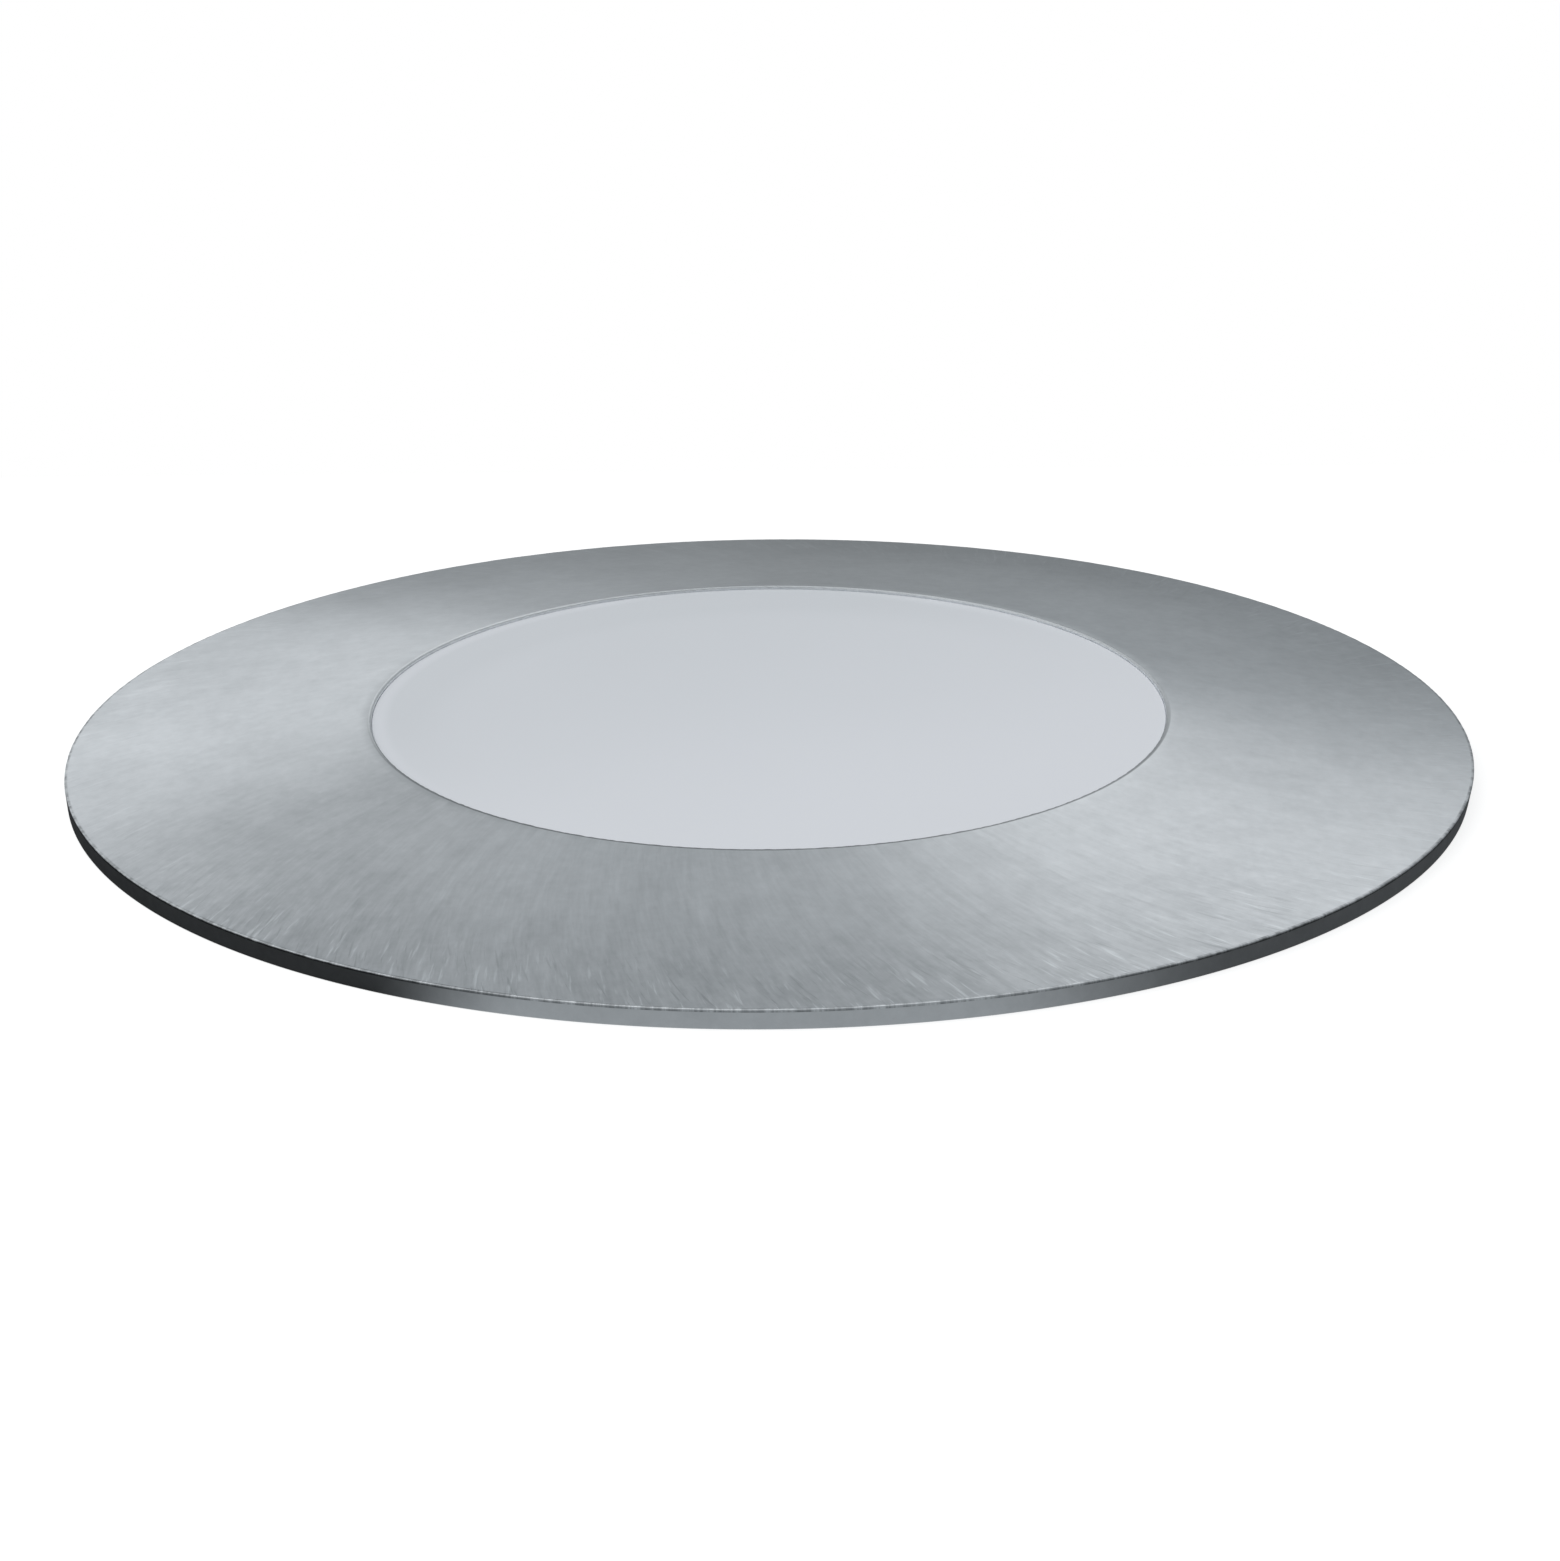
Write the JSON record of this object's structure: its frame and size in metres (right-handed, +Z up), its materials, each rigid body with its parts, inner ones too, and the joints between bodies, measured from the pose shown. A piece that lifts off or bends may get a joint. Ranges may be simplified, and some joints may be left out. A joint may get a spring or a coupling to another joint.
{
  "type": "recessed floor light",
  "caption": "Round recessed floor light: brushed stainless trim with a frosted lens over a sealed pot housing, held by leaf springs in a mounting sleeve.",
  "frame": {"origin": "on the light's axis at floor level, the plane that the trim's rim lies on", "axes": "+Z up along the axis, out of the floor"},
  "size_m": [0.085, 0.085, 0.0771],
  "materials": {
    "brushed_stainless": "radially brushed, satin",
    "frosted_glass": "frosted, matte",
    "black_plastic": "fine grain",
    "black_rubber": "matte",
    "cast_aluminium": "die-cast, grey powder coat",
    "screw_steel": "plain stainless",
    "white_plastic": "satin white",
    "white_board": "white solder mask on aluminium",
    "chip_yellow": "phosphor resin",
    "pad_silicone": "matte silicone",
    "sink_aluminium": "extruded, plain",
    "lead_plastic": "insulated wire",
    "brass": "turned",
    "green_board": "solder mask",
    "ferrite": "sintered",
    "capacitor_sleeve": "shrink sleeve",
    "green_plastic": "moulded",
    "gland_plastic": "moulded nylon",
    "spring_steel": "rolled strip",
    "sleeve_plastic": "moulded, fine grain"
  },
  "bodies": {
    "sleeve": {"mounting_sleeve": "sleeve_plastic"},
    "light": {"trim_ring": "brushed_stainless", "ring_carrier": "black_plastic", "floor_gasket": "black_rubber", "lens": "frosted_glass", "lens_gasket": "black_rubber", "housing": "cast_aluminium", "ring_screws": "screw_steel", "reflector": "white_plastic", "led_board": "white_board", "led_chips": "chip_yellow", "board_screws": "screw_steel", "thermal_pad": "pad_silicone", "heat_sink": "sink_aluminium", "sink_screws": "screw_steel", "link_leads": "lead_plastic", "standoffs": "brass", "driver_board": "green_board", "driver_screws": "screw_steel", "inductor": "ferrite", "capacitor": "capacitor_sleeve", "driver_chips": "black_plastic", "terminal_block": "green_plastic", "gland_body": "gland_plastic", "gland_washer": "black_rubber", "gland_seal": "black_rubber", "gland_nut": "gland_plastic", "gland_locknut": "gland_plastic", "spring_tabs": "spring_steel", "spring_rivets": "screw_steel"},
    "leaf_1": {"leaf_spring_1": "spring_steel"},
    "leaf_2": {"leaf_spring_2": "spring_steel"},
    "leaf_3": {"leaf_spring_3": "spring_steel"}
  },
  "joints": [
    {"name": "lift_out", "type": "slide", "parent": "sleeve", "child": "light", "axis": [0, 0, 1], "range_m": [0, 0.075]},
    {"name": "leaf_flex_1", "type": "hinge", "parent": "light", "child": "leaf_1", "pos_m": [0, -0.02945, -0.03655], "axis": [1, 0, 0], "range_deg": [-4.5, 0], "stiffness_Nm_per_rad": 1.4},
    {"name": "leaf_flex_2", "type": "hinge", "parent": "light", "child": "leaf_2", "pos_m": [0.0255, 0.01473, -0.03655], "axis": [-0.5, 0.866, 0], "range_deg": [-4.5, 0], "stiffness_Nm_per_rad": 1.4},
    {"name": "leaf_flex_3", "type": "hinge", "parent": "light", "child": "leaf_3", "pos_m": [-0.0255, 0.01473, -0.03655], "axis": [-0.5, -0.866, 0], "range_deg": [-4.5, 0], "stiffness_Nm_per_rad": 1.4}
  ]
}
